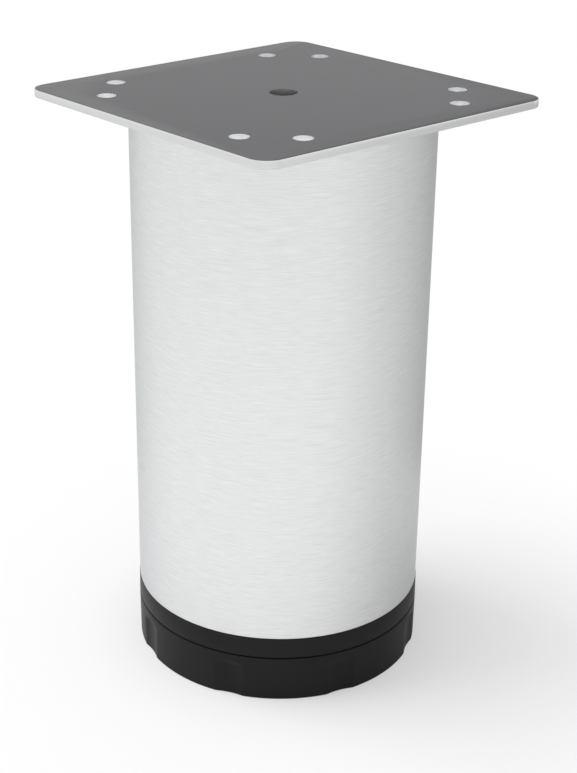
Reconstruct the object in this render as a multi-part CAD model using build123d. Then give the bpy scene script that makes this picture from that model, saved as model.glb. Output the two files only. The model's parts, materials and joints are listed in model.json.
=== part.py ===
from build123d import *
import os
from math import cos, radians, tan

# Bed leg: a square steel plate on a round brushed tube, standing on a screw-adjusted plastic foot.
# Millimetres, +Z up, origin on the floor at the leg's axis.
# The heights are those of the foot screwed fully in.

# Whole leg
leg_height = 150.5

# Mounting plate
plate_width = 90.0
plate_thickness = 2.0
plate_corner_radius = 5.0
plate_edge_chamfer = 0.25
screw_hole_diameter = 4.8
screw_hole_edge_distance = 10.0
screw_hole_end_distance = 20.0
centre_hole_diameter = 7.0

# Tube
tube_diameter = 76.0
tube_wall_thickness = 1.5
tube_edge_chamfer = 0.2

# Weld runs between the plate and the inside of the tube
weld_leg_length = 2.0
weld_run_angle = 40.0
weld_run_count = 4

# The black pieces stand a little proud of the tube where they meet each other
collar_overhang = 0.2
seam_gap = 0.3

# Foot
foot_height = 12.3
foot_draft = 1.2
foot_top_thickness = 2.5
foot_skirt_thickness = 2.4
foot_top_chamfer = 0.3
foot_bottom_chamfer = 0.3
foot_hub_diameter = 24.0
foot_hub_floor_clearance = 0.5
foot_rib_thickness = 1.8
foot_rib_floor_clearance = 1.5

# Finger recesses round the foot
recess_count = 8
recess_first_angle = 29.6
recess_depth = 0.65
recess_arc_radius = 17.0
recess_rim_height = 1.5
recess_run_out_height = 1.6
recess_run_out_depth = 1.2

# Insert pressed into the tube
collar_height = 5.7
collar_draft = 1.0
collar_edge_chamfer = 0.3
insert_web_thickness = 3.0
spigot_height = 16.0
spigot_wall_thickness = 2.2
spigot_clearance = 0.5
spigot_lead_in_length = 1.0
crush_rib_count = 12
crush_rib_width = 1.6
boss_wall_thickness = 3.2
boss_roof_thickness = 4.0
insert_rib_count = 8
insert_rib_thickness = 1.8
insert_rib_drop = 1.5
spindle_hole_clearance = 0.4

# Nut, M10
nut_across_flats = 17.0
nut_thickness = 8.0
nut_recess_depth = 0.5
nut_chamfer_angle = 30.0
nut_face_share = 0.95

# Spindle, M10
thread_diameter = 10.0
running_clearance = 0.05
height_adjustment = 15.0
spindle_spare_length = 3.0
spindle_tip_chamfer = 1.0
spindle_head_diameter = 16.0
spindle_head_height = 5.0
spindle_head_floor_thickness = 2.0
spindle_groove_depth = 1.2
spindle_groove_width = 1.4

# Levels, from the floor up
head_bottom = foot_hub_floor_clearance + spindle_head_floor_thickness
head_top = head_bottom + spindle_head_height
collar_bottom = foot_height + seam_gap
tube_bottom = collar_bottom + collar_height
plate_bottom = leg_height - plate_thickness
web_top = collar_bottom + insert_web_thickness
spigot_top = tube_bottom + spigot_height
insert_rib_top = spigot_top - insert_rib_drop
nut_bottom = collar_bottom + nut_recess_depth
nut_top = nut_bottom + nut_thickness
boss_top = nut_top + boss_roof_thickness
spindle_top = nut_top + height_adjustment + spindle_spare_length

# Radii that follow from the sizes above
tube_radius = tube_diameter / 2
tube_bore = tube_radius - tube_wall_thickness
seam_radius = tube_radius + collar_overhang
spigot_radius = tube_bore - spigot_clearance
spigot_bore = spigot_radius - spigot_wall_thickness
nut_corner_radius = nut_across_flats / 2 / cos(radians(30))
boss_radius = nut_corner_radius + boss_wall_thickness
thread_radius = thread_diameter / 2
running_bore = thread_radius + running_clearance

# How far a fused or cut shape reaches past the face it meets
overrun = 0.6

# How closely an edge has to match the place it is looked for
edge_tolerance = 0.01


def revolved(points):
    """Solid of revolution about Z from (radius, height) points."""
    outline = Polyline(*[(r, 0, z) for r, z in points], close=True)
    return revolve(make_face(outline), Axis.Z)


def ring(outer_radius, inner_radius, low, high):
    """Plain tube between two heights."""
    return revolved([(inner_radius, low), (outer_radius, low), (outer_radius, high), (inner_radius, high)])


def around(piece, count, first_angle=0.0):
    """Copies of a piece, evenly spaced round Z."""
    return [Rot(0, 0, first_angle + 360 * i / count) * piece for i in range(count)]


def round_edges(part, radius, height):
    """Edges of a part that are circles about Z, at a given radius and height."""
    return ShapeList(
        edge
        for edge in part.edges().filter_by(GeomType.CIRCLE)
        if abs(edge.radius - radius) < edge_tolerance
        and (Vector(0, 0, height) - edge.arc_center).length < edge_tolerance
    )


def hexagon(across_flats, low, high):
    """Hexagonal prism on the axis."""
    outline = RegularPolygon(across_flats / 2, 6, major_radius=False)
    return Pos(0, 0, low) * extrude(outline, high - low)


def drill(radius, low, high):
    """Round bar on the axis that cuts through everything between two heights."""
    bar = Cylinder(radius, high - low + 2 * overrun, align=(Align.CENTER, Align.CENTER, Align.MIN))
    return Pos(0, 0, low - overrun) * bar


def radial_rib(inner_radius, outer_radius, thickness, low, high):
    """Upright flat rib along +X."""
    rib = Box(outer_radius - inner_radius, thickness, high - low, align=(Align.MIN, Align.CENTER, Align.MIN))
    return Pos(inner_radius, 0, low) * rib


def stiffening_ring(inner_radius, outer_radius, thickness, low, high):
    """Round rib half-way between two walls."""
    middle = (inner_radius + outer_radius) / 2
    return ring(middle + thickness / 2, middle - thickness / 2, low, high)


def make_mounting_plate():
    """Square sheet steel plate with eight screw holes, a pair on each side, and one hole in the middle."""
    outline = RectangleRounded(plate_width, plate_width, plate_corner_radius)
    plate = Pos(0, 0, plate_bottom) * extrude(outline, plate_thickness)
    sheared_edges = plate.faces().sort_by(Axis.Z)[0].edges() + plate.faces().sort_by(Axis.Z)[-1].edges()
    plate = chamfer(sheared_edges, plate_edge_chamfer)
    screw_hole = drill(screw_hole_diameter / 2, plate_bottom, leg_height)
    near_edge = plate_width / 2 - screw_hole_edge_distance
    near_end = plate_width / 2 - screw_hole_end_distance
    for side in (-1, 1):
        for end in (-1, 1):
            plate -= Pos(side * near_edge, end * near_end, 0) * screw_hole
            plate -= Pos(side * near_end, end * near_edge, 0) * screw_hole
    return plate - drill(centre_hole_diameter / 2, plate_bottom, leg_height)


def make_leg_tube():
    """Round steel tube, square cut, welded to the plate at its top end."""
    tube = ring(tube_radius, tube_bore, tube_bottom, plate_bottom)
    return chamfer(round_edges(tube, tube_radius, tube_bottom), tube_edge_chamfer)


def make_weld_runs():
    """Fillet weld in short runs, in the corner between the plate and the inside of the tube."""
    section = Polyline(
        (tube_bore, 0, plate_bottom - weld_leg_length),
        (tube_bore, 0, plate_bottom),
        (tube_bore - weld_leg_length, 0, plate_bottom),
        close=True,
    )
    run = Rot(0, 0, -weld_run_angle / 2) * revolve(make_face(section), Axis.Z, weld_run_angle)
    return Compound(children=around(run, weld_run_count))


def make_tube_insert():
    """Moulded plug: a collar under the tube's edge, and a ribbed spigot with crush ribs inside the tube."""
    collar_top_radius = seam_radius - collar_height * tan(radians(collar_draft))
    insert = revolved([
        (0, collar_bottom),
        (seam_radius, collar_bottom),
        (collar_top_radius, tube_bottom),
        (spigot_radius, tube_bottom),
        (spigot_radius, spigot_top - spigot_lead_in_length),
        (spigot_radius - spigot_lead_in_length / 2, spigot_top),
        (spigot_bore, spigot_top),
        (spigot_bore, web_top),
        (0, web_top),
    ])
    insert = chamfer(round_edges(insert, seam_radius, collar_bottom), collar_edge_chamfer)
    crush_rib_top = spigot_top - 2 * spigot_lead_in_length
    crush_rib = radial_rib(
        spigot_radius - overrun, tube_radius, crush_rib_width, tube_bottom, crush_rib_top
    ) & drill(tube_bore, tube_bottom, crush_rib_top)
    rib = radial_rib(boss_radius - overrun, spigot_bore + overrun, insert_rib_thickness, web_top, insert_rib_top)
    insert += around(crush_rib, crush_rib_count, 180 / crush_rib_count)
    insert += around(rib, insert_rib_count)
    insert += revolved([(0, web_top), (boss_radius, web_top), (boss_radius, boss_top), (0, boss_top)])
    insert += stiffening_ring(boss_radius, spigot_bore, insert_rib_thickness, web_top, insert_rib_top)
    insert -= hexagon(nut_across_flats, collar_bottom - overrun, nut_top)
    return insert - drill(thread_radius + spindle_hole_clearance, nut_top, boss_top)


def make_insert_nut():
    """M10 hexagon nut, chamfered on both faces, pressed into the insert from below."""
    face_radius = nut_across_flats / 2 * nut_face_share
    chamfer_height = (nut_corner_radius - face_radius) * tan(radians(nut_chamfer_angle))
    turned = revolved([
        (0, nut_bottom),
        (face_radius, nut_bottom),
        (nut_corner_radius, nut_bottom + chamfer_height),
        (nut_corner_radius, nut_top - chamfer_height),
        (face_radius, nut_top),
        (0, nut_top),
    ])
    nut = hexagon(nut_across_flats, nut_bottom, nut_top) & turned
    return nut - drill(running_bore, nut_bottom, nut_top)


def spindle_head(clearance):
    """The spindle's grooved head, or with a clearance the room it needs in the foot."""
    head_radius = spindle_head_diameter / 2 + clearance
    groove_radius = head_radius - spindle_groove_depth
    groove_middle = (head_bottom + head_top) / 2
    groove_half = spindle_groove_width / 2 - clearance
    return revolved([
        (0, head_bottom - clearance),
        (head_radius, head_bottom - clearance),
        (head_radius, groove_middle - groove_half),
        (groove_radius, groove_middle - groove_half),
        (groove_radius, groove_middle + groove_half),
        (head_radius, groove_middle + groove_half),
        (head_radius, head_top + clearance),
        (0, head_top + clearance),
    ])


def make_foot_spindle():
    """M10 stud: a grooved head moulded into the foot, and the thread that runs in the nut."""
    shank = revolved([
        (0, head_top - overrun),
        (thread_radius, head_top - overrun),
        (thread_radius, spindle_top - spindle_tip_chamfer),
        (thread_radius - spindle_tip_chamfer, spindle_top),
        (0, spindle_top),
    ])
    return spindle_head(0) + shank


def make_adjusting_foot():
    """Moulded foot: a drafted cup, open below, with finger recesses, a hub and stiffening ribs."""
    bottom_radius = seam_radius - foot_height * tan(radians(foot_draft))
    foot = revolved([(0, 0), (bottom_radius, 0), (seam_radius, foot_height), (0, foot_height)])
    foot = chamfer(round_edges(foot, seam_radius, foot_height), foot_top_chamfer)

    recess_top = foot_height - recess_rim_height
    finger = revolved([
        (0, -overrun),
        (recess_arc_radius, -overrun),
        (recess_arc_radius, recess_top - recess_run_out_height),
        (recess_arc_radius - recess_run_out_depth, recess_top),
        (0, recess_top),
    ])
    finger = Pos(bottom_radius - recess_depth + recess_arc_radius, 0, 0) * finger
    foot -= around(finger, recess_count, recess_first_angle)
    foot = chamfer(foot.faces().sort_by(Axis.Z)[0].edges(), foot_bottom_chamfer)

    hub_radius = foot_hub_diameter / 2
    skirt_bore = bottom_radius - foot_skirt_thickness
    ceiling = foot_height - foot_top_thickness
    foot -= revolved([
        (0, -overrun),
        (skirt_bore, -overrun),
        (skirt_bore, ceiling),
        (hub_radius, ceiling),
        (hub_radius, foot_hub_floor_clearance),
        (0, foot_hub_floor_clearance),
    ])
    rib_top = ceiling + overrun
    rib = radial_rib(
        hub_radius - overrun, skirt_bore + overrun, foot_rib_thickness, foot_rib_floor_clearance, rib_top
    )
    foot += around(rib, recess_count, recess_first_angle + 180 / recess_count)
    foot += stiffening_ring(hub_radius, skirt_bore, foot_rib_thickness, foot_rib_floor_clearance, rib_top)
    foot -= spindle_head(running_clearance)
    return foot - drill(running_bore, head_top + overrun, foot_height)


pieces = {
    "mounting_plate": make_mounting_plate(),
    "leg_tube": make_leg_tube(),
    "weld_runs": make_weld_runs(),
    "tube_insert": make_tube_insert(),
    "insert_nut": make_insert_nut(),
    "foot_spindle": make_foot_spindle(),
    "adjusting_foot": make_adjusting_foot(),
}

os.makedirs("parts", exist_ok=True)
for name, piece in pieces.items():
    export_step(piece, "parts/" + name + ".step")
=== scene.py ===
"""Bed leg: a square steel plate on a round brushed tube, with a black screw-adjusted foot."""

import json
from math import atan2, cos, floor, pi, radians, sin, sqrt, tan

import bmesh
import bpy
from bpy.props import FloatProperty, FloatVectorProperty, IntProperty, PointerProperty
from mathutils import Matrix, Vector


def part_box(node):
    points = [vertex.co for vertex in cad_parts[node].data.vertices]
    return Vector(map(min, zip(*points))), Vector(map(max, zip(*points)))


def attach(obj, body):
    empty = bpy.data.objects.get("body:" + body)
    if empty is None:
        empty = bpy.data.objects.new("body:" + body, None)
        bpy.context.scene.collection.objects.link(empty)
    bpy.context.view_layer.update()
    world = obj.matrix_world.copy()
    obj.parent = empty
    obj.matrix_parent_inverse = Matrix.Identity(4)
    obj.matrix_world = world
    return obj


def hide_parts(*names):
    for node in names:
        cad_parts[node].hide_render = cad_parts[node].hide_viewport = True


bl_info = {
    "name": "Bed Leg",
    "version": (1, 0, 0),
    "blender": (4, 5, 0),
    "location": "View3D > Sidebar > Bed Leg",
    "description": "Models the pieces of a bed leg with an adjustable foot and sets up its studio",
    "category": "Object",
}

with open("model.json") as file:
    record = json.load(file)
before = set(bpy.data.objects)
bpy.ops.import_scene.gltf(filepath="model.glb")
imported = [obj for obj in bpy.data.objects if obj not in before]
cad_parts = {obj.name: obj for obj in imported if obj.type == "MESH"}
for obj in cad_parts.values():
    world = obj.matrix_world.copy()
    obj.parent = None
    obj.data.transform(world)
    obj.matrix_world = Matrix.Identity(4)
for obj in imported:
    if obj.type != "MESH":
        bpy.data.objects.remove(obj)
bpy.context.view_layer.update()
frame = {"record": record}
mounts = {mount["name"]: mount for mount in frame["record"]["mounts"]}

MM = 0.001
FULL_TURN = 2 * pi

# Closest that two vertices stay, and the slack of a cut and of finding an edge by its place
MERGE_DISTANCE = 4e-6
CUT_TOLERANCE = 1e-7
PLACE_TOLERANCE = 1e-5

# How far a cutting shape reaches past the piece that it cuts
MARGIN = 1 * MM

# How far inside its rim the flat end of a turned moulding starts
END_FACE_INSET = 3 * MM

# Segments of a round wall that shows, of an inner one and of a small one
WALL_SEGMENTS = 256
INNER_SEGMENTS = 128
SMALL_SEGMENTS = 96

# Levels and radii that the frame gives, in metres
plate_low, plate_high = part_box("mounting_plate")
tube_low, tube_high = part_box("leg_tube")
insert_low, insert_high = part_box("tube_insert")
nut_low, nut_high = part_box("insert_nut")
spindle_low, spindle_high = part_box("foot_spindle")
foot_low, foot_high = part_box("adjusting_foot")
tube_radius = tube_high.x
seam_radius = insert_high.x
head_radius = spindle_high.x
nut_across_flats = nut_high.y - nut_low.y


def length(name, description, default, low):
    """A length that a user can change, from its default and least value in millimetres."""
    return FloatProperty(
        name=name, description=description, default=default * MM, min=low * MM, unit="LENGTH")


def colour(name, description, default):
    """A colour that a user can change."""
    return FloatVectorProperty(
        name=name, description=description, default=default, subtype="COLOR", min=0, max=1)


class BedLegSizes(bpy.types.PropertyGroup):
    """Sizes that the frame doesn't give."""

    plate_corner_radius: length(
        "Plate Corner Radius", "Radius of the plate's four corners", 5, low=1)
    plate_edge_radius: length(
        "Plate Edge Radius", "Rounding of the plate's outline", 0.25, low=0.05)
    tube_wall: length(
        "Tube Wall", "Wall thickness of the tube", 1.5, low=0.5)
    tube_edge_radius: length(
        "Tube Edge Radius", "Rounding of the tube's cut edges", 0.1, low=0.02)
    weld_leg: length(
        "Weld Leg", "Leg length of the fillet weld", 2, low=0.5)
    weld_run_angle: FloatProperty(
        name="Weld Run Angle", description="How far one run of weld reaches round the tube",
        default=radians(40), min=radians(5), max=radians(80), unit="ROTATION")
    weld_runs: IntProperty(
        name="Weld Runs", description="Number of runs of weld", default=4, min=1, max=4)
    wall_draft: FloatProperty(
        name="Foot Draft", description="Moulding draft of the foot's wall",
        default=radians(0.6), min=0, max=radians(5), unit="ROTATION")
    collar_draft: FloatProperty(
        name="Collar Draft", description="Moulding draft of the collar's wall",
        default=radians(1), min=0, max=radians(5), unit="ROTATION")
    moulded_edge_radius: length(
        "Moulded Edge Radius", "Rounding of the plastic pieces' edges at the seam", 0.3, low=0.05)
    foot_bottom_radius: length(
        "Foot Bottom Radius", "Rounding of the foot's edge at the floor", 0.3, low=0.05)
    foot_skirt: length(
        "Foot Skirt", "Wall thickness of the foot's skirt", 2.4, low=1)
    foot_top: length(
        "Foot Top", "Thickness of the foot's top", 2.5, low=1)
    foot_hub_radius: length(
        "Foot Hub Radius", "Radius of the hub round the spindle's head", 12, low=9)
    recesses: IntProperty(
        name="Recesses", description="Number of finger recesses round the foot", default=8, min=1)
    recess_first_angle: FloatProperty(
        name="First Recess", description="Direction of the first recess from +X",
        default=radians(29.6), unit="ROTATION")
    recess_depth: length(
        "Recess Depth", "Depth of a recess at the floor", 0.6, low=0)
    recess_arc: length(
        "Recess Arc", "Radius of a recess's hollow", 17, low=5)
    recess_rim: length(
        "Recess Rim", "Height of the plain rim above a recess", 0.8, low=0.5)
    recess_end: length(
        "Recess End Radius", "Rounding of a recess's upper end", 3, low=0.5)
    rib: length(
        "Rib Thickness", "Thickness of the moulded stiffening ribs", 1.8, low=0.5)
    spigot_wall: length(
        "Spigot Wall", "Wall thickness of the insert's spigot", 2.2, low=0.8)
    spigot_gap: length(
        "Spigot Gap", "Gap between the spigot and the tube, which the crush ribs fill", 0.5, low=0.1)
    insert_web: length(
        "Insert Web", "Thickness of the insert's floor", 3, low=1)
    thread_pitch: length(
        "Thread Pitch", "Rise of the M10 thread in one turn", 1.5, low=0.5)
    thread_radius: length(
        "Thread Radius", "Outer radius of the M10 thread", 5, low=2)
    thread_play: length(
        "Thread Play", "Gap between the spindle's thread and the nut's", 0.06, low=0.01)


class BedLegColours(bpy.types.PropertyGroup):
    """Colours of the finishes, as linear values; the plate's top, edges and holes carry painted shade
    and painted highlight.
    """

    tube_steel: colour(
        "Tube Steel", "Brushed steel of the tube", (0.83, 0.845, 0.84))
    # Painted shade: the plate's top is painted dark grey for the dark reflection on its top, on steel
    # that is one finish all over.
    plate_top_painted_shade: colour(
        "Plate Top", "Satin grey top of the plate", (0.085, 0.0865, 0.092))
    # Painted highlight: the cut edges and the underside rim are painted bright for the light that
    # they reflect.
    plate_edge_painted_highlight: colour(
        "Plate Edge", "Bright cut edges and underside rim of the plate", (0.74, 0.755, 0.75))
    # Painted light and shade: the small holes' walls are painted bright for the floor's light through
    # them, and the middle hole's wall darker for the shade inside the closed tube.
    hole_wall_painted_light_and_shade: colour(
        "Hole Wall", "Walls of the plate's holes, brighter in the small ones", (0.79, 0.795, 0.805))
    weld: colour(
        "Weld", "Weld metal", (0.34, 0.32, 0.30))
    zinc: colour(
        "Zinc", "Zinc plating of the nut and the spindle", (0.62, 0.64, 0.66))
    black_plastic: colour(
        "Black Plastic", "Moulded plastic of the insert and the foot", (0.0150, 0.0150, 0.0153))
    floor: colour(
        "Floor", "Studio floor", (0.9, 0.9, 0.905))


def sizes():
    """The scene's sizes."""
    return bpy.context.scene.bed_leg_sizes


def colours():
    """The scene's colours."""
    return bpy.context.scene.bed_leg_colours


# Modelling helpers

def begin():
    """Leaves nothing selected, so that the next primitive stands alone."""
    bpy.ops.object.select_all(action="DESELECT")


def edit():
    bpy.ops.object.mode_set(mode="EDIT")


def leave_edit():
    bpy.ops.object.mode_set(mode="OBJECT")


def activate(piece):
    """Makes a piece the only one selected, and the active one."""
    begin()
    piece.select_set(True)
    bpy.context.view_layer.objects.active = piece


def place_in_mesh():
    """Puts the active object at the origin, with its place in its mesh."""
    bpy.ops.object.transform_apply(location=True, rotation=True, scale=True)
    return bpy.context.object


def select_edges(wanted):
    """In edit mode, selects the edges for which a test holds."""
    mesh = bmesh.from_edit_mesh(bpy.context.object.data)
    bpy.ops.mesh.select_mode(type="EDGE")
    bpy.ops.mesh.select_all(action="DESELECT")
    for edge in mesh.edges:
        edge.select_set(wanted(edge))
    mesh.select_flush_mode()


def close_mesh():
    """In edit mode, merges doubles and turns all faces outwards."""
    bpy.ops.mesh.select_all(action="SELECT")
    bpy.ops.mesh.remove_doubles(threshold=MERGE_DISTANCE)
    bpy.ops.mesh.normals_make_consistent(inside=False)


def mend(piece):
    """Merges the doubles that a boolean leaves in a piece."""
    activate(piece)
    edit()
    close_mesh()
    leave_edit()


def rounded(corners, closed=True, steps=4):
    """Points of an outline from (x, y, rounding radius) corners."""
    points = []
    last = len(corners) - 1
    for index, (x, y, radius) in enumerate(corners):
        here = Vector((x, y))
        if radius == 0 or (not closed and index in (0, last)):
            points.append(here)
            continue
        before = (Vector(corners[index - 1][:2]) - here).normalized()
        after = (Vector(corners[(index + 1) % len(corners)][:2]) - here).normalized()
        half_angle = before.angle(after) / 2
        centre = here + (before + after).normalized() * radius / sin(half_angle)
        first = here + before * radius / tan(half_angle) - centre
        second = here + after * radius / tan(half_angle) - centre
        for step in range(steps + 1):
            points.append(centre + first.slerp(second, step / steps) * radius)
    return points


def turned(name, profile, segments, closed=False):
    """A turned shape: a ring extruded from each (radius, height) of the profile to the next."""
    begin()
    radius, height = profile[0]
    bpy.ops.mesh.primitive_circle_add(vertices=segments, radius=radius, location=(0, 0, height))
    piece = place_in_mesh()
    piece.name = name
    edit()
    bpy.ops.mesh.select_all(action="SELECT")
    if not closed:
        bpy.ops.mesh.edge_face_add()
        bpy.ops.mesh.select_all(action="SELECT")
    for next_radius, next_height in list(profile[1:]) + ([profile[0]] if closed else []):
        rise = next_height - height
        bpy.ops.mesh.extrude_region_move(TRANSFORM_OT_translate={"value": (0, 0, rise)})
        growth = next_radius / radius
        bpy.ops.transform.resize(value=(growth, growth, 1), center_override=(0, 0, next_height))
        radius, height = next_radius, next_height
    close_mesh()
    leave_edit()
    return piece


def bar(radius, low, high, segments=64):
    """A round bar on the axis, to cut with."""
    begin()
    bpy.ops.mesh.primitive_cylinder_add(
        vertices=segments, radius=radius, depth=high - low, location=(0, 0, (low + high) / 2))
    return place_in_mesh()


def copies_round_axis(piece, count):
    """Repeats a piece's mesh evenly round the axis."""
    activate(piece)
    edit()
    bpy.ops.mesh.select_all(action="SELECT")
    last_angle = FULL_TURN * (count - 1) / count
    bpy.ops.mesh.spin(steps=count - 1, dupli=True, angle=last_angle, center=(0, 0, 0), axis=(0, 0, 1))
    leave_edit()


def turn(piece, angle):
    """Turns a piece round the axis, counterclockwise seen from above."""
    activate(piece)
    piece.rotation_euler.z = angle
    place_in_mesh()


def combine(piece, tool, operation):
    """Boolean of a piece with a tool, which is used up."""
    activate(piece)
    modifier = piece.modifiers.new("combine", "BOOLEAN")
    modifier.operation = operation
    modifier.solver = "EXACT"
    modifier.object = tool
    bpy.ops.object.modifier_apply(modifier=modifier.name)
    bpy.data.objects.remove(tool)


def soften_edges(piece, width, steps=3, sharper_than=radians(40)):
    """Rounds the sharp edges of a piece."""
    activate(piece)
    modifier = piece.modifiers.new("soften", "BEVEL")
    modifier.width = width
    modifier.segments = steps
    modifier.limit_method = "ANGLE"
    modifier.angle_limit = sharper_than
    modifier.harden_normals = True
    bpy.ops.object.modifier_apply(modifier=modifier.name)


def smooth(piece, sharper_than=radians(30)):
    """Shades a piece smooth, apart from its sharp edges."""
    activate(piece)
    bpy.ops.object.shade_smooth_by_angle(angle=sharper_than)


def finish_piece(piece, node, body, material):
    """Gives a piece its finish, body and slot, and lets it stand for its CAD node."""
    piece.name = node + "_form"
    piece.data.name = piece.name
    piece.data.materials.clear()
    piece.data.materials.append(material)
    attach(piece, body)
    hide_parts(node)


# Shapes that more than one piece uses

def hexagonal_bar(low, high):
    """A hexagonal bar as wide as the nut, with two corners on X."""
    begin()
    bpy.ops.mesh.primitive_cylinder_add(
        vertices=6, radius=nut_across_flats / 2 / cos(radians(30)), depth=high - low,
        location=(0, 0, (low + high) / 2), rotation=(0, 0, radians(30)))
    return place_in_mesh()


def screw_thread(growth, low, high, steps=48):
    """A solid bar with the M10 thread, grown by a little for the nut, cut square at both ends."""
    s = sizes()
    pitch = s.thread_pitch
    crest = s.thread_radius + growth
    root = crest - 5 / 8 * pitch * sqrt(3) / 2
    profile = [(root, 0), (root, pitch / 8), (crest, pitch * 7 / 16), (crest, pitch * 9 / 16),
               (root, pitch * 7 / 8), (root, pitch)]
    first_turn = floor(low / pitch) - 2
    turns = floor(high / pitch) + 2 - first_turn
    begin()
    bpy.ops.mesh.primitive_circle_add(vertices=len(profile), radius=crest)
    piece = place_in_mesh()
    for vertex, (radius, height) in zip(piece.data.vertices, profile):
        vertex.co = (radius, 0, first_turn * pitch + height)
    edit()
    closing = {0, len(profile) - 1}
    select_edges(lambda edge: {v.index for v in edge.verts} == closing)
    bpy.ops.mesh.delete(type="EDGE")
    leave_edit()
    modifier = piece.modifiers.new("helix", "SCREW")
    modifier.axis = "Z"
    modifier.angle = FULL_TURN
    modifier.screw_offset = pitch
    modifier.iterations = turns
    modifier.steps = modifier.render_steps = steps
    modifier.use_merge_vertices = True
    modifier.merge_threshold = MERGE_DISTANCE
    bpy.ops.object.modifier_apply(modifier=modifier.name)
    edit()
    close_mesh()
    for height, upwards in ((low, False), (high, True)):
        bpy.ops.mesh.select_all(action="SELECT")
        bpy.ops.mesh.bisect(
            plane_co=(0, 0, height), plane_no=(0, 0, 1), use_fill=True,
            clear_inner=not upwards, clear_outer=upwards, threshold=CUT_TOLERANCE)
    close_mesh()
    leave_edit()
    return piece


def rib_cells(inner, outer, low, high, count, first_angle):
    """Cells to cut out of a moulding: a ring sawn apart where the radial ribs stay."""
    corner_radius = 0.5 * MM
    section = [(inner, low), (outer, low), (outer, high), (inner, high)]
    cells = turned("cells", section, INNER_SEGMENTS, closed=True)
    begin()
    bpy.ops.mesh.primitive_cube_add(
        size=1, location=((inner + outer) / 2, 0, (low + high) / 2),
        scale=(outer - inner + 4 * MARGIN, sizes().rib, high - low + 4 * MARGIN))
    ribs = place_in_mesh()
    copies_round_axis(ribs, count)
    turn(ribs, first_angle)
    combine(cells, ribs, "DIFFERENCE")
    soften_edges(cells, corner_radius)
    mend(cells)
    return cells


def cut_two_rows_of_cells(piece, inner, outer, low, high, count, first_angle):
    """Cuts cells on both sides of a ring rib half-way between two walls."""
    middle = (inner + outer) / 2
    half_rib = sizes().rib / 2
    for row in ((inner, middle - half_rib), (middle + half_rib, outer)):
        combine(piece, rib_cells(*row, low, high, count, first_angle), "DIFFERENCE")
        mend(piece)


def head_profile(clearance):
    """Outline of the spindle's grooved head, or with a clearance of its room in the foot."""
    head_height = 5 * MM
    groove_depth = 1.2 * MM
    half_groove = 0.7 * MM - clearance
    radius = head_radius + clearance
    low = spindle_low.z - clearance
    high = spindle_low.z + head_height + clearance
    middle = (low + high) / 2
    groove_low, groove_high = middle - half_groove, middle + half_groove
    groove_radius = radius - groove_depth
    return [(radius, low), (radius, groove_low), (groove_radius, groove_low),
            (groove_radius, groove_high), (radius, groove_high), (radius, high)]


# Node groups that the materials share

def new_group(name, inputs, outputs):
    """An empty shader node group with named sockets, and its two ends."""
    group = bpy.data.node_groups.new(name, "ShaderNodeTree")
    for label, kind, default in inputs:
        socket = group.interface.new_socket(label, in_out="INPUT", socket_type=kind)
        socket.default_value = default
    for label in outputs:
        group.interface.new_socket(label, in_out="OUTPUT", socket_type="NodeSocketFloat")
    return group, group.nodes.new("NodeGroupInput"), group.nodes.new("NodeGroupOutput")


def operation_node(tree, kind, operation, values):
    """A node for an operation; each of its values is a socket or a plain value."""
    node = tree.nodes.new(kind)
    node.operation = operation
    for socket, value in zip(node.inputs, values):
        if isinstance(value, bpy.types.NodeSocket):
            tree.links.new(value, socket)
        else:
            socket.default_value = value
    return node.outputs


def math_node(tree, operation, *values):
    return operation_node(tree, "ShaderNodeMath", operation, values)["Value"]


def vector_math(tree, operation, *values, output="Vector"):
    return operation_node(tree, "ShaderNodeVectorMath", operation, values)[output]


def map_range(tree, value, low, high, from_low=0, from_high=1, smooth=False):
    """A value from one range mapped to another, and kept within it."""
    node = tree.nodes.new("ShaderNodeMapRange")
    if smooth:
        node.interpolation_type = "SMOOTHSTEP"
    node.inputs["From Min"].default_value = from_low
    node.inputs["From Max"].default_value = from_high
    node.inputs["To Min"].default_value = low
    node.inputs["To Max"].default_value = high
    tree.links.new(value, node.inputs["Value"])
    return node.outputs["Result"]


def ray_kinds(tree):
    """Whether a ray comes from the camera, and whether it was reflected or passed through."""
    paths = tree.nodes.new("ShaderNodeLightPath").outputs
    reflected = math_node(tree, "MAXIMUM", paths["Is Glossy Ray"], paths["Is Transmission Ray"])
    return paths["Is Camera Ray"], reflected


def object_place(tree):
    """Where a point lies in its object."""
    return tree.nodes.new("ShaderNodeTexCoord").outputs["Object"]


def split(tree, vector):
    """The X, Y and Z of a vector."""
    node = tree.nodes.new("ShaderNodeSeparateXYZ")
    tree.links.new(vector, node.inputs["Vector"])
    return node.outputs


def noise(tree, vector, scale, detail=2.0, roughness=0.5):
    """A noise texture read at a vector."""
    node = tree.nodes.new("ShaderNodeTexNoise")
    node.inputs["Scale"].default_value = scale
    node.inputs["Detail"].default_value = detail
    node.inputs["Roughness"].default_value = roughness
    tree.links.new(vector, node.inputs["Vector"])
    return node


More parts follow.
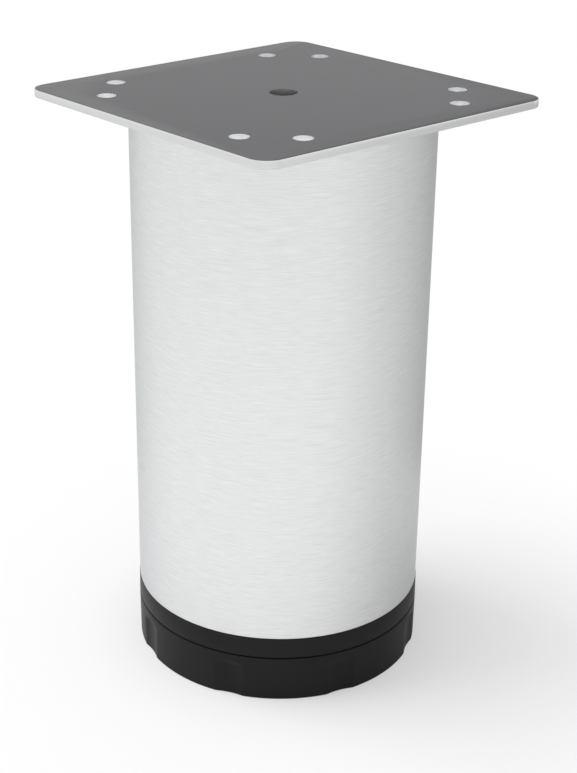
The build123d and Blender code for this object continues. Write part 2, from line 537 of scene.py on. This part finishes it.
def brushed_lines_group():
    """Fine brush lines that run along the directions with the least stretch, and soft patches."""
    group, start, end = new_group(
        "brushed lines",
        [("Stretch", "NodeSocketVector", (1, 1, 1)), ("Waviness", "NodeSocketFloat", 0.0),
         ("Patch Scale", "NodeSocketFloat", 30.0)],
        ["Lines", "Scratches", "Patches"])
    place = object_place(group)
    drift = noise(group, place, 45, detail=1)
    centred = vector_math(group, "SUBTRACT", drift.outputs["Color"], (0.5, 0.5, 0.5))
    spread = group.nodes.new("ShaderNodeVectorMath")
    spread.operation = "SCALE"
    group.links.new(centred, spread.inputs["Vector"])
    group.links.new(start.outputs["Waviness"], spread.inputs["Scale"])
    wavy = vector_math(group, "ADD", place, spread.outputs["Vector"])
    stretched = vector_math(group, "MULTIPLY", wavy, start.outputs["Stretch"])
    lines = noise(group, stretched, 1, detail=3, roughness=0.55)
    scratches = noise(group, stretched, 2.7, detail=2, roughness=0.7)
    patches = noise(group, place, 30, detail=2)
    group.links.new(start.outputs["Patch Scale"], patches.inputs["Scale"])
    group.links.new(lines.outputs["Fac"], end.inputs["Lines"])
    group.links.new(scratches.outputs["Fac"], end.inputs["Scratches"])
    group.links.new(patches.outputs["Fac"], end.inputs["Patches"])
    return group


def moulded_grain_group():
    """The fine grain of a spark-eroded mould, and slow changes of gloss."""
    group, start, end = new_group(
        "moulded grain", [("Grain Scale", "NodeSocketFloat", 2600.0)], ["Grain", "Cloud"])
    place = object_place(group)
    grain = noise(group, place, 2600, detail=2, roughness=0.6)
    cloud = noise(group, place, 55, detail=2)
    group.links.new(start.outputs["Grain Scale"], grain.inputs["Scale"])
    group.links.new(grain.outputs["Fac"], end.inputs["Grain"])
    group.links.new(cloud.outputs["Fac"], end.inputs["Cloud"])
    return group


# Materials

def new_material(name):
    """A material with its node tree and Principled shader."""
    material = bpy.data.materials.new(name)
    material.use_nodes = True
    return material, material.node_tree, material.node_tree.nodes["Principled BSDF"]


def placed_group(tree, name, make, **values):
    """A shared group, made the first time it is asked for, in a material with its own values."""
    node = tree.nodes.new("ShaderNodeGroup")
    node.node_tree = bpy.data.node_groups.get(name) or make()
    for label, value in values.items():
        node.inputs[label.replace("_", " ")].default_value = value
    return node


def shades(tree, factor, base, contrast):
    """A colour that gets darker and lighter with a factor, by a share of itself."""
    node = tree.nodes.new("ShaderNodeMix")
    node.data_type = "RGBA"
    tree.links.new(factor, node.inputs["Factor"])
    node.inputs[6].default_value = (*[c * (1 - contrast) for c in base], 1)
    node.inputs[7].default_value = (*[min(1, c * (1 + contrast)) for c in base], 1)
    return node.outputs[2]


def blended(tree, factor, first, second):
    """One colour turning into another."""
    node = tree.nodes.new("ShaderNodeMix")
    node.data_type = "RGBA"
    tree.links.new(factor, node.inputs["Factor"])
    tree.links.new(first, node.inputs[6])
    tree.links.new(second, node.inputs[7])
    return node.outputs[2]


def set_surface(tree, shader, base, roughness, relief, depth, metallic=1):
    """Gives a shader its colour, its roughness and a relief of a given depth."""
    shader.inputs["Metallic"].default_value = metallic
    tree.links.new(base, shader.inputs["Base Color"])
    tree.links.new(roughness, shader.inputs["Roughness"])
    bump = tree.nodes.new("ShaderNodeBump")
    bump.inputs["Strength"].default_value = 1
    bump.inputs["Distance"].default_value = depth
    tree.links.new(relief, bump.inputs["Height"])
    tree.links.new(bump.outputs["Normal"], shader.inputs["Normal"])


def brushed_tube_material():
    """Steel brushed round the tube, with fine streaks of low contrast."""
    material, tree, shader = new_material("brushed_tube")
    lines = placed_group(tree, "brushed lines", brushed_lines_group,
                         Stretch=(190, 190, 4000), Waviness=0.0008, Patch_Scale=22.0)
    streaks = math_node(tree, "MULTIPLY_ADD", lines.outputs["Scratches"], 0.4,
                        math_node(tree, "MULTIPLY", lines.outputs["Lines"], 0.6))
    steel = shades(tree, map_range(tree, streaks, -1, 2), colours().tube_steel, contrast=0.075)
    roughness = map_range(tree, streaks, 0.36, 0.50)
    shader.inputs["Specular Tint"].default_value = (0.66, 0.665, 0.68, 1)
    set_surface(tree, shader, steel, roughness, streaks, depth=0.01 * MM)
    return material


def plate_material():
    """Sheet steel of one finish, painted in two tones: painted shade makes the top dark grey, and
    painted highlight makes it bright at the cut edges, in the holes and below.
    """
    skin = 0.04 * MM
    edge_band = 2 * MM
    material, tree, shader = new_material("plate_steel")
    lines = placed_group(tree, "brushed lines", brushed_lines_group,
                         Stretch=(60, 1500, 1500), Waviness=0.0005, Patch_Scale=18.0)
    place = object_place(tree)
    height = split(tree, place)["Z"]
    sides = split(tree, vector_math(tree, "ABSOLUTE", place))
    reach = math_node(tree, "MAXIMUM", sides["X"], sides["Y"])
    on_top = math_node(tree, "GREATER_THAN", height, plate_high.z - skin)
    below = math_node(tree, "LESS_THAN", height, plate_low.z + skin)
    at_edge = math_node(tree, "GREATER_THAN", reach, plate_high.x - edge_band)
    in_small_hole = math_node(tree, "GREATER_THAN", reach, tube_radius / 2)
    # Painted shade on the top, and painted highlight on the cut edges, on the rim below and in the
    # holes.
    grey = shades(tree, lines.outputs["Lines"], colours().plate_top_painted_shade, contrast=0.01)
    edge = shades(tree, lines.outputs["Patches"], colours().plate_edge_painted_highlight, contrast=0.02)
    # Painted light and shade: brighter walls in the small holes, and a darker wall in the middle hole
    # under the tube.
    hole = shades(tree, in_small_hole, colours().hole_wall_painted_light_and_shade, contrast=0.18)
    bright = blended(tree, math_node(tree, "MAXIMUM", below, at_edge), hole, edge)
    steel = blended(tree, on_top, bright, grey)
    roughness = math_node(tree, "MULTIPLY_ADD", on_top, 0.06,
                          map_range(tree, lines.outputs["Lines"], 0.33, 0.37))
    relief = math_node(tree, "MULTIPLY", lines.outputs["Scratches"], on_top)
    set_surface(tree, shader, steel, roughness, relief, depth=0.0015 * MM)
    return material


def weld_material():
    """Weld metal, straw to grey with the heat."""
    material, tree, shader = new_material("weld_metal")
    grain = placed_group(tree, "moulded grain", moulded_grain_group, Grain_Scale=1800.0)
    metal = shades(tree, grain.outputs["Cloud"], colours().weld, contrast=0.35)
    roughness = map_range(tree, grain.outputs["Grain"], 0.3, 0.6)
    set_surface(tree, shader, metal, roughness, grain.outputs["Grain"], depth=0.04 * MM)
    return material


def zinc_material():
    """Bright zinc plating with faint turning marks."""
    material, tree, shader = new_material("zinc_steel")
    lines = placed_group(tree, "brushed lines", brushed_lines_group,
                         Stretch=(220, 220, 2600), Waviness=0.0002, Patch_Scale=90.0)
    zinc = shades(tree, lines.outputs["Patches"], colours().zinc, contrast=0.12)
    roughness = map_range(tree, lines.outputs["Lines"], 0.22, 0.38)
    set_surface(tree, shader, zinc, roughness, lines.outputs["Scratches"], depth=0.008 * MM)
    return material


def black_plastic_material(name):
    """Black moulded plastic with a fine satin grain."""
    material, tree, shader = new_material(name)
    grain = placed_group(tree, "moulded grain", moulded_grain_group)
    black = shades(tree, grain.outputs["Cloud"], colours().black_plastic, contrast=0.12)
    roughness = map_range(tree, grain.outputs["Cloud"], 0.36, 0.46)
    relief = grain.outputs["Grain"]
    shader.inputs["Specular IOR Level"].default_value = 0.11
    set_surface(tree, shader, black, roughness, relief, depth=0.012 * MM, metallic=0)
    return material


def two_shader_material(name, first_kind, second_kind):
    """A material of two shaders, with its node tree, both shaders and the socket for the share."""
    material = bpy.data.materials.new(name)
    material.use_nodes = True
    tree = material.node_tree
    tree.nodes.clear()
    first, second = tree.nodes.new(first_kind), tree.nodes.new(second_kind)
    mix = tree.nodes.new("ShaderNodeMixShader")
    output = tree.nodes.new("ShaderNodeOutputMaterial")
    tree.links.new(first.outputs[0], mix.inputs[1])
    tree.links.new(second.outputs[0], mix.inputs[2])
    tree.links.new(mix.outputs[0], output.inputs["Surface"])
    return material, tree, first, second, mix.inputs[0]


def floor_material():
    """Pale studio floor that turns to plain white away from the leg, and keeps the leg's shadow."""
    fade_start, fade_end = 45 * MM, 150 * MM
    white_under_leg = 0.4
    material, tree, pale, white, white_share = two_shader_material(
        "studio_floor", "ShaderNodeBsdfDiffuse", "ShaderNodeEmission")
    pale.inputs["Color"].default_value = (*colours().floor, 1)
    white.inputs["Strength"].default_value = 1
    from_leg = vector_math(tree, "LENGTH", object_place(tree), output="Value")
    away = map_range(tree, from_leg, 0, 1, fade_start, fade_end, smooth=True)
    from_camera, reflected = ray_kinds(tree)
    looked_at = math_node(tree, "MULTIPLY", from_camera, map_range(tree, away, white_under_leg, 1))
    mirrored = math_node(tree, "MULTIPLY", math_node(tree, "POWER", away, 2.5), reflected)
    tree.links.new(math_node(tree, "MAXIMUM", looked_at, mirrored), white_share)
    return material


def grey_card_material(direction):
    """Grey card that fades out to both sides of a direction, and thins and darkens downwards."""
    densest = 0.72
    denser_upwards = 1.3
    dark_below = 60 * MM
    material, tree, clear, grey, grey_share = two_shader_material(
        "studio_grey_card", "ShaderNodeBsdfTransparent", "ShaderNodeEmission")
    place = object_place(tree)
    height = split(tree, place)["Z"]
    outwards = vector_math(tree, "NORMALIZE", vector_math(tree, "MULTIPLY", place, (1, 1, 0)))
    middle = (cos(direction), sin(direction), 0)
    towards = vector_math(tree, "DOT_PRODUCT", outwards, middle, output="Value")
    lobe = map_range(tree, towards, 0, densest, from_low=-0.35, from_high=0.95)
    tree.links.new(math_node(tree, "MULTIPLY_ADD", height, denser_upwards, lobe), grey_share)
    light = map_range(tree, height, 0.40, 0.48, from_high=dark_below)
    tree.links.new(light, grey.inputs["Strength"])
    return material


class BEDLEG_OT_mounting_plate(bpy.types.Operator):
    """Model the square plate with its eight screw holes and the hole in its middle"""

    bl_idname = "bedleg.mounting_plate"
    bl_label = "Mounting Plate"

    corner_segments = 14
    centre_hole_segments = 72
    screw_hole_segments = 56

    def execute(self, context):
        s = sizes()
        middle = (plate_low + plate_high) / 2
        begin()
        bpy.ops.mesh.primitive_cube_add(size=1, location=middle, scale=plate_high - plate_low)
        plate = place_in_mesh()
        edit()
        select_edges(lambda edge: abs(edge.verts[0].co.z - edge.verts[1].co.z) > PLACE_TOLERANCE)
        bpy.ops.mesh.bevel(
            offset=s.plate_corner_radius, segments=self.corner_segments, affect="EDGES")
        leave_edit()
        soften_edges(plate, s.plate_edge_radius)

        low, high = plate_low.z - MARGIN, plate_high.z + MARGIN
        centre_radius = mounts["centre_hole"]["dims"]["r_mm"] * MM
        centre_hole = bar(centre_radius, low, high, self.centre_hole_segments)
        holes = [centre_hole]
        for name in ("screw_holes_x", "screw_holes_y"):
            pattern = mounts[name]["dims"]
            for side in (-0.5, 0.5):
                for end in (-0.5, 0.5):
                    hole = bar(pattern["hole_r_mm"] * MM, low, high, self.screw_hole_segments)
                    hole.location.x = side * pattern["spacing_x_mm"] * MM
                    hole.location.y = end * pattern["spacing_y_mm"] * MM
                    holes.append(hole)
        begin()
        for hole in holes:
            hole.select_set(True)
        bpy.context.view_layer.objects.active = centre_hole
        bpy.ops.object.join()
        combine(plate, centre_hole, "DIFFERENCE")
        smooth(plate)
        finish_piece(plate, "mounting_plate", "leg", plate_material())
        return {"FINISHED"}


class BEDLEG_OT_leg_tube(bpy.types.Operator):
    """Model the brushed tube, with its cut lower edge broken"""

    bl_idname = "bedleg.leg_tube"
    bl_label = "Leg Tube"

    def execute(self, context):
        s = sizes()
        bore = tube_radius - s.tube_wall
        section = rounded([
            (tube_radius, tube_low.z, s.tube_edge_radius),
            (tube_radius, tube_high.z, 0),
            (bore, tube_high.z, 0),
            (bore, tube_low.z, s.tube_edge_radius),
        ])
        tube = turned("tube", section, WALL_SEGMENTS, closed=True)
        smooth(tube)
        finish_piece(tube, "leg_tube", "leg", brushed_tube_material())
        return {"FINISHED"}


class BEDLEG_OT_weld_runs(bpy.types.Operator):
    """Model the rippled runs of weld in the corner between the plate and the inside of the tube"""

    bl_idname = "bedleg.weld_runs"
    bl_label = "Weld Runs"

    ripples_per_run = 22
    steps_per_ripple = 3
    ripple_depth = 0.09
    bulge = 0.35
    end_fullness = 0.45
    fullness_gain = 0.3
    angle_tolerance = 1e-4

    def execute(self, context):
        s = sizes()
        bore = tube_radius - s.tube_wall
        corner = Vector((bore, plate_low.z))
        begin()
        bpy.ops.mesh.primitive_circle_add(vertices=8, radius=s.weld_leg, fill_type="NGON")
        weld = place_in_mesh()
        vertices = weld.data.vertices
        vertices[0].co = (corner.x, 0, corner.y)
        for index, vertex in enumerate(vertices[1:]):
            angle = pi + pi / 2 * index / (len(vertices) - 2)
            flat_face = s.weld_leg / (abs(cos(angle)) + abs(sin(angle)))
            reach = flat_face + self.bulge * (s.weld_leg - flat_face)
            vertex.co = (corner.x + reach * cos(angle), 0, corner.y + reach * sin(angle))
        steps = self.ripples_per_run * self.steps_per_ripple
        edit()
        bpy.ops.mesh.select_all(action="SELECT")
        bpy.ops.mesh.spin(steps=steps, angle=s.weld_run_angle, center=(0, 0, 0), axis=(0, 0, -1))
        close_mesh()
        for step in range(steps + 1):
            angle = s.weld_run_angle * step / steps
            from_end = min(step, steps - step) / self.steps_per_ripple
            fullness = min(1, self.end_fullness + self.fullness_gain * from_end)
            ripple = 1 - self.ripple_depth * (step % self.steps_per_ripple)
            select_edges(lambda edge: all(
                abs(atan2(v.co.y, v.co.x) - angle) < self.angle_tolerance for v in edge.verts))
            size = fullness * ripple
            bpy.ops.transform.resize(
                value=(size, size, size),
                center_override=(corner.x * cos(angle), corner.x * sin(angle), corner.y))
        leave_edit()
        turn(weld, -s.weld_run_angle / 2)
        copies_round_axis(weld, s.weld_runs)
        smooth(weld, radians(50))
        finish_piece(weld, "weld_runs", "leg", weld_material())
        return {"FINISHED"}


class BEDLEG_OT_tube_insert(bpy.types.Operator):
    """Model the moulded insert: its collar, ribbed spigot, crush ribs and nut pocket"""

    bl_idname = "bedleg.tube_insert"
    bl_label = "Tube Insert"

    ribs = 8
    rib_setback = 1.5 * MM
    boss_wall = 3.2 * MM
    boss_rise = 4 * MM
    hole_play = 0.4 * MM
    shoulder_radius = 0.1 * MM
    lead_in = (0.5 * MM, 1 * MM)
    lead_in_radius = 0.2 * MM
    crush_ribs = 12
    crush_rib_radius = 0.8 * MM
    crush_rib_end_radius = 0.4 * MM
    crush_rib_play = 0.02 * MM
    crush_rib_segments = 20
    crush_rib_root = 0.5 * MM
    crush_rib_setback = 2 * MM

    def execute(self, context):
        s = sizes()
        bore = tube_radius - s.tube_wall
        spigot = bore - s.spigot_gap
        spigot_bore = spigot - s.spigot_wall
        collar_top = seam_radius - (tube_low.z - insert_low.z) * tan(s.collar_draft)
        top = insert_high.z
        web_top = insert_low.z + s.insert_web
        boss_radius = nut_high.x + self.boss_wall
        boss_top = nut_high.z + self.boss_rise
        rib_top = top - self.rib_setback
        outline = rounded([
            (seam_radius - END_FACE_INSET, insert_low.z, 0),
            (seam_radius, insert_low.z, s.moulded_edge_radius),
            (collar_top, tube_low.z, self.shoulder_radius),
            (spigot, tube_low.z, 0),
            (spigot, top - self.lead_in[1], 0),
            (spigot - self.lead_in[0], top, self.lead_in_radius),
            (spigot_bore, top, 0),
        ], closed=False)
        insert = turned("insert", outline, WALL_SEGMENTS)
        combine(insert, self.ring_of_crush_ribs(bore, top), "UNION")

        overlap = 0.05 * MM
        mouth = turned("mouth", [
            (boss_radius + overlap, boss_top),
            (boss_radius + overlap, rib_top),
            (spigot_bore + overlap, rib_top),
            (spigot_bore + overlap, top + MARGIN),
        ], INNER_SEGMENTS)
        combine(insert, mouth, "DIFFERENCE")
        cut_two_rows_of_cells(
            insert, boss_radius, spigot_bore, web_top, rib_top + MARGIN, self.ribs, 0)
        pocket = hexagonal_bar(insert_low.z - MARGIN, nut_high.z)
        combine(insert, pocket, "DIFFERENCE")
        hole = bar(s.thread_radius + self.hole_play, nut_high.z - MARGIN, boss_top + MARGIN)
        combine(insert, hole, "DIFFERENCE")
        smooth(insert)
        black = black_plastic_material("black_insert")
        finish_piece(insert, "tube_insert", "leg", black)
        return {"FINISHED"}

    def ring_of_crush_ribs(self, bore, top):
        """Half-round ribs on the spigot, which hold it in the tube's bore."""
        low, high = tube_low.z - self.crush_rib_root, top - self.crush_rib_setback
        crush_rib = bar(self.crush_rib_radius, low, high, self.crush_rib_segments)
        crush_rib.location.x = bore - self.crush_rib_play - self.crush_rib_radius
        soften_edges(crush_rib, self.crush_rib_end_radius)
        activate(crush_rib)
        place_in_mesh()
        copies_round_axis(crush_rib, self.crush_ribs)
        turn(crush_rib, pi / self.crush_ribs)
        return crush_rib


class BEDLEG_OT_insert_nut(bpy.types.Operator):
    """Model the M10 nut with its chamfered corners and its thread"""

    bl_idname = "bedleg.insert_nut"
    bl_label = "Insert Nut"

    bearing_share = 0.95
    chamfer_slope = radians(30)
    countersink_play = 0.45 * MM
    core_depth = 0.55

    def execute(self, context):
        s = sizes()
        low, high = nut_low.z, nut_high.z
        corner = nut_high.x
        bearing = nut_across_flats / 2 * self.bearing_share
        fall = (corner - bearing) * tan(self.chamfer_slope)
        nut = hexagonal_bar(low, high)
        cones = turned("cones", [
            (bearing, low), (corner, low + fall), (corner, high - fall), (bearing, high),
        ], SMALL_SEGMENTS)
        combine(nut, cones, "INTERSECT")
        combine(nut, screw_thread(s.thread_play, low - MARGIN, high + MARGIN), "DIFFERENCE")
        mouth = s.thread_radius + self.countersink_play
        core = s.thread_radius - s.thread_pitch * self.core_depth
        for face_height, inwards in ((low, 1), (high, -1)):
            countersink = turned("countersink", [
                (mouth, face_height - 0.5 * MARGIN * inwards),
                (mouth, face_height),
                (core, face_height + (mouth - core) * inwards),
            ], SMALL_SEGMENTS)
            combine(nut, countersink, "DIFFERENCE")
        smooth(nut)
        finish_piece(nut, "insert_nut", "leg", zinc_material())
        return {"FINISHED"}


class BEDLEG_OT_foot_spindle(bpy.types.Operator):
    """Model the M10 spindle: its thread, its chamfered tip and the grooved head in the foot"""

    bl_idname = "bedleg.foot_spindle"
    bl_label = "Foot Spindle"

    neck_height = 1.5 * MM
    thread_start = 1.01 * MM
    tip_overlap = 0.1 * MM
    envelope_play = 0.3 * MM
    tip_chamfer = (1 * MM, 1.3 * MM)

    def execute(self, context):
        s = sizes()
        head = head_profile(0)
        head_top = head[-1][1]
        tip = spindle_high.z
        spindle = screw_thread(0, head_top + self.thread_start, tip + self.tip_overlap)
        envelope = turned("envelope", [
            (s.thread_radius + self.envelope_play, head_top),
            (s.thread_radius + self.envelope_play, tip - self.tip_chamfer[1]),
            (s.thread_radius - self.tip_chamfer[0], tip),
        ], SMALL_SEGMENTS)
        combine(spindle, envelope, "INTERSECT")
        neck = [(s.thread_radius, head_top), (s.thread_radius, head_top + self.neck_height)]
        combine(spindle, turned("head", head + neck, SMALL_SEGMENTS), "UNION")
        smooth(spindle)
        zinc = bpy.data.materials.get("zinc_steel") or zinc_material()
        finish_piece(spindle, "foot_spindle", "spindle", zinc)
        return {"FINISHED"}


def recess_depth_at(angle, height, wall_radius, floor_radius):
    """How far a finger recess lies below the foot's wall at a place, negative outside it."""
    s = sizes()
    spacing = FULL_TURN / s.recesses
    away = (angle + spacing / 2) % spacing - spacing / 2
    reach = s.recess_arc
    above_straight = height - (foot_high.z - s.recess_rim - s.recess_end)
    if above_straight > 0:
        rise = min(above_straight, s.recess_end)
        reach -= s.recess_end - sqrt(s.recess_end ** 2 - rise ** 2)
    centre = floor_radius - s.recess_depth + s.recess_arc
    half_chord = reach ** 2 - (centre * sin(away)) ** 2
    if half_chord < 0:
        return -s.recess_depth
    return wall_radius - (centre * cos(away) - sqrt(half_chord))


def softened(depth, softness):
    """A recess's depth, with its edge rounded off."""
    if depth <= -softness:
        return 0
    if depth >= softness:
        return depth
    return (depth + softness) ** 2 / (4 * softness)


class BEDLEG_OT_adjusting_foot(bpy.types.Operator):
    """Model the moulded foot: its drafted wall with finger recesses, its hub and its ribs"""

    bl_idname = "bedleg.adjusting_foot"
    bl_label = "Adjusting Foot"

    columns_per_recess = 72
    rows_below_recess_end = 8
    rows_in_recess_end = 18
    recess_edge_softness = 0.12 * MM
    rib_low = 1.5 * MM
    cell_low = 0.6 * MM
    hub_low = 0.5 * MM
    spindle_play = 0.05 * MM
    neck_room_depth = 3 * MM

    def execute(self, context):
        s = sizes()
        top = foot_high.z
        slope = tan(s.wall_draft)
        floor_radius = seam_radius - top * slope
        foot = self.recessed_block(top, slope, floor_radius)
        skirt_bore = floor_radius - s.foot_skirt
        ceiling = top - s.foot_top
        inside_hub = s.foot_hub_radius - 0.1 * MM

        # The hollow is chamfered at the floor
        hollow = turned("hollow", [
            (skirt_bore + 1.4 * MM, -MARGIN),
            (skirt_bore + 0.1 * MM, 0.3 * MM),
            (skirt_bore + 0.05 * MM, self.rib_low),
            (inside_hub, self.rib_low),
            (inside_hub, self.hub_low),
            (0, self.hub_low),
        ], INNER_SEGMENTS)
        combine(foot, hollow, "DIFFERENCE")
        half_spacing = pi / s.recesses
        cut_two_rows_of_cells(
            foot, s.foot_hub_radius, skirt_bore, self.cell_low, ceiling, s.recesses, half_spacing)
        turn(foot, s.recess_first_angle)
        head_room = turned("head room", head_profile(self.spindle_play), SMALL_SEGMENTS)
        combine(foot, head_room, "DIFFERENCE")
        neck_room = bar(s.thread_radius + self.spindle_play,
                        ceiling - self.neck_room_depth, top + MARGIN, SMALL_SEGMENTS)
        combine(foot, neck_room, "DIFFERENCE")
        smooth(foot)
        black = black_plastic_material("black_foot")
        finish_piece(foot, "adjusting_foot", "foot", black)
        return {"FINISHED"}

    def recessed_block(self, top, slope, floor_radius):
        """The solid block of the foot, with the finger recesses pressed into its wall."""
        s = sizes()
        wall_low = s.foot_bottom_radius * 2
        recess_top = top - s.recess_rim
        end_low = recess_top - s.recess_end
        wall = rounded([
            (floor_radius - END_FACE_INSET / 2, 0, 0),
            (floor_radius, 0, s.foot_bottom_radius),
            (floor_radius + slope * wall_low, wall_low, 0),
        ], closed=False)
        for rows, low, high in ((self.rows_below_recess_end, wall_low, end_low),
                                (self.rows_in_recess_end, end_low, recess_top)):
            for row in range(1, rows + 1):
                height = low + (high - low) * row / rows
                wall.append(Vector((floor_radius + slope * height, height)))
        wall += rounded([
            (floor_radius + slope * recess_top, recess_top, 0),
            (seam_radius, top, s.moulded_edge_radius),
            (seam_radius - END_FACE_INSET, top, 0),
        ], closed=False)[1:]
        foot = turned("foot", wall, self.columns_per_recess * s.recesses)
        end_faces = floor_radius - 1 * MM
        for vertex in foot.data.vertices:
            radius = Vector(vertex.co[:2]).length
            if vertex.co.z < recess_top and radius > end_faces:
                angle = atan2(vertex.co.y, vertex.co.x)
                wall_radius = floor_radius + slope * vertex.co.z
                depth = recess_depth_at(angle, vertex.co.z, wall_radius, floor_radius)
                inwards = softened(depth, self.recess_edge_softness) / radius
                vertex.co.x *= 1 - inwards
                vertex.co.y *= 1 - inwards
        return foot


class BEDLEG_OT_studio(bpy.types.Operator):
    """Set up the pale floor, the soft lamp, the white surroundings, the grey card and the camera"""

    bl_idname = "bedleg.studio"
    bl_label = "Studio"

    photo_width = 577
    photo_height = 773
    photo_focal_length = 1586.05
    photo_optical_centre = 234.6
    camera_place = (-0.25409, -0.28673, 0.24063)
    camera_direction = (0.58544, 0.70358, -0.40276)
    floor_size = 8.0
    card_radius = 0.12
    card_direction = radians(10)
    lamp_place = (-0.60, 0.67, 1.15)
    lamp_size = 1.0
    lamp_power = 13.2
    world_light = 0.65

    def execute(self, context):
        scene = context.scene
        scene.view_settings.view_transform = "Standard"
        self.add_floor()
        self.add_surroundings(scene)
        self.add_grey_card()
        self.add_lamp(scene)
        self.add_camera(scene)
        return {"FINISHED"}

    def add_floor(self):
        """The floor, which stays under the foot when the foot is screwed out."""
        begin()
        bpy.ops.mesh.primitive_grid_add(x_subdivisions=8, y_subdivisions=8, size=self.floor_size)
        ground = place_in_mesh()
        ground.name = "studio_floor"
        ground.data.materials.append(floor_material())
        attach(ground, "spindle")

    def add_grey_card(self):
        """A curved grey card that shades the tube's sides, seen in reflections alone."""
        begin()
        bpy.ops.mesh.primitive_cylinder_add(
            vertices=SMALL_SEGMENTS, radius=self.card_radius, depth=plate_low.z,
            end_fill_type="NOTHING", location=(0, 0, plate_low.z / 2))
        card = place_in_mesh()
        card.name = "studio_grey_card"
        card.data.materials.append(grey_card_material(self.card_direction))
        card.visible_camera = False
        card.visible_diffuse = False
        card.visible_transmission = False
        card.visible_volume_scatter = False
        card.visible_shadow = False
        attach(card, "spindle")

    def add_surroundings(self, scene):
        """White surroundings for what is seen, and a softer light for what is lit."""
        world = bpy.data.worlds.new("studio")
        scene.world = world
        world.use_nodes = True
        tree = world.node_tree
        tree.nodes.clear()
        output = tree.nodes.new("ShaderNodeOutputWorld")
        background = tree.nodes.new("ShaderNodeBackground")
        background.inputs["Color"].default_value = (1, 1, 1, 1)
        seen = math_node(tree, "MAXIMUM", *ray_kinds(tree))
        tree.links.new(map_range(tree, seen, self.world_light, 1), background.inputs["Strength"])
        tree.links.new(background.outputs[0], output.inputs["Surface"])

    def add_lamp(self, scene):
        """A square softbox on the left that faces the middle of the leg."""
        lamp = bpy.data.lights.new("left_softbox", "AREA")
        lamp.size = self.lamp_size
        lamp.energy = self.lamp_power
        holder = bpy.data.objects.new("left_softbox", lamp)
        holder.visible_glossy = False
        scene.collection.objects.link(holder)
        holder.location = self.lamp_place
        aim = Vector((0, 0, plate_high.z / 2)) - holder.location
        holder.rotation_euler = aim.to_track_quat("-Z", "Y").to_euler()

    def add_camera(self, scene):
        """The photograph's camera: its lens, its place and the side shift of its frame."""
        camera = bpy.data.cameras.new("camera")
        camera.sensor_width = 36
        camera.lens = camera.sensor_width * self.photo_focal_length / self.photo_height
        camera.shift_x = (self.photo_width / 2 - self.photo_optical_centre) / self.photo_height
        camera.clip_start = 0.01
        holder = bpy.data.objects.new("camera", camera)
        scene.collection.objects.link(holder)
        holder.location = self.camera_place
        holder.rotation_euler = Vector(self.camera_direction).to_track_quat("-Z", "Y").to_euler()
        scene.camera = holder


operators = (
    BEDLEG_OT_mounting_plate,
    BEDLEG_OT_leg_tube,
    BEDLEG_OT_weld_runs,
    BEDLEG_OT_tube_insert,
    BEDLEG_OT_insert_nut,
    BEDLEG_OT_foot_spindle,
    BEDLEG_OT_adjusting_foot,
    BEDLEG_OT_studio,
)


class BEDLEG_PT_panel(bpy.types.Panel):
    """Sizes, colours and pieces of the bed leg"""

    bl_idname = "BEDLEG_PT_panel"
    bl_label = "Bed Leg"
    bl_space_type = "VIEW_3D"
    bl_region_type = "UI"
    bl_category = "Bed Leg"

    def draw(self, context):
        for settings in (context.scene.bed_leg_sizes, context.scene.bed_leg_colours):
            column = self.layout.column()
            for name in settings.bl_rna.properties.keys():
                if name not in ("rna_type", "name"):
                    column.prop(settings, name)
        for operator in operators:
            self.layout.operator(operator.bl_idname)


classes = (BedLegSizes, BedLegColours, *operators, BEDLEG_PT_panel)


def register():
    for cls in classes:
        bpy.utils.register_class(cls)
    bpy.types.Scene.bed_leg_sizes = PointerProperty(type=BedLegSizes)
    bpy.types.Scene.bed_leg_colours = PointerProperty(type=BedLegColours)


def unregister():
    del bpy.types.Scene.bed_leg_colours
    del bpy.types.Scene.bed_leg_sizes
    for cls in reversed(classes):
        bpy.utils.unregister_class(cls)


def main():
    """Makes every piece and the studio."""
    register()
    bpy.ops.bedleg.mounting_plate()
    bpy.ops.bedleg.leg_tube()
    bpy.ops.bedleg.weld_runs()
    bpy.ops.bedleg.tube_insert()
    bpy.ops.bedleg.insert_nut()
    bpy.ops.bedleg.foot_spindle()
    bpy.ops.bedleg.adjusting_foot()
    bpy.ops.bedleg.studio()


if __name__ == "__main__":
    main()
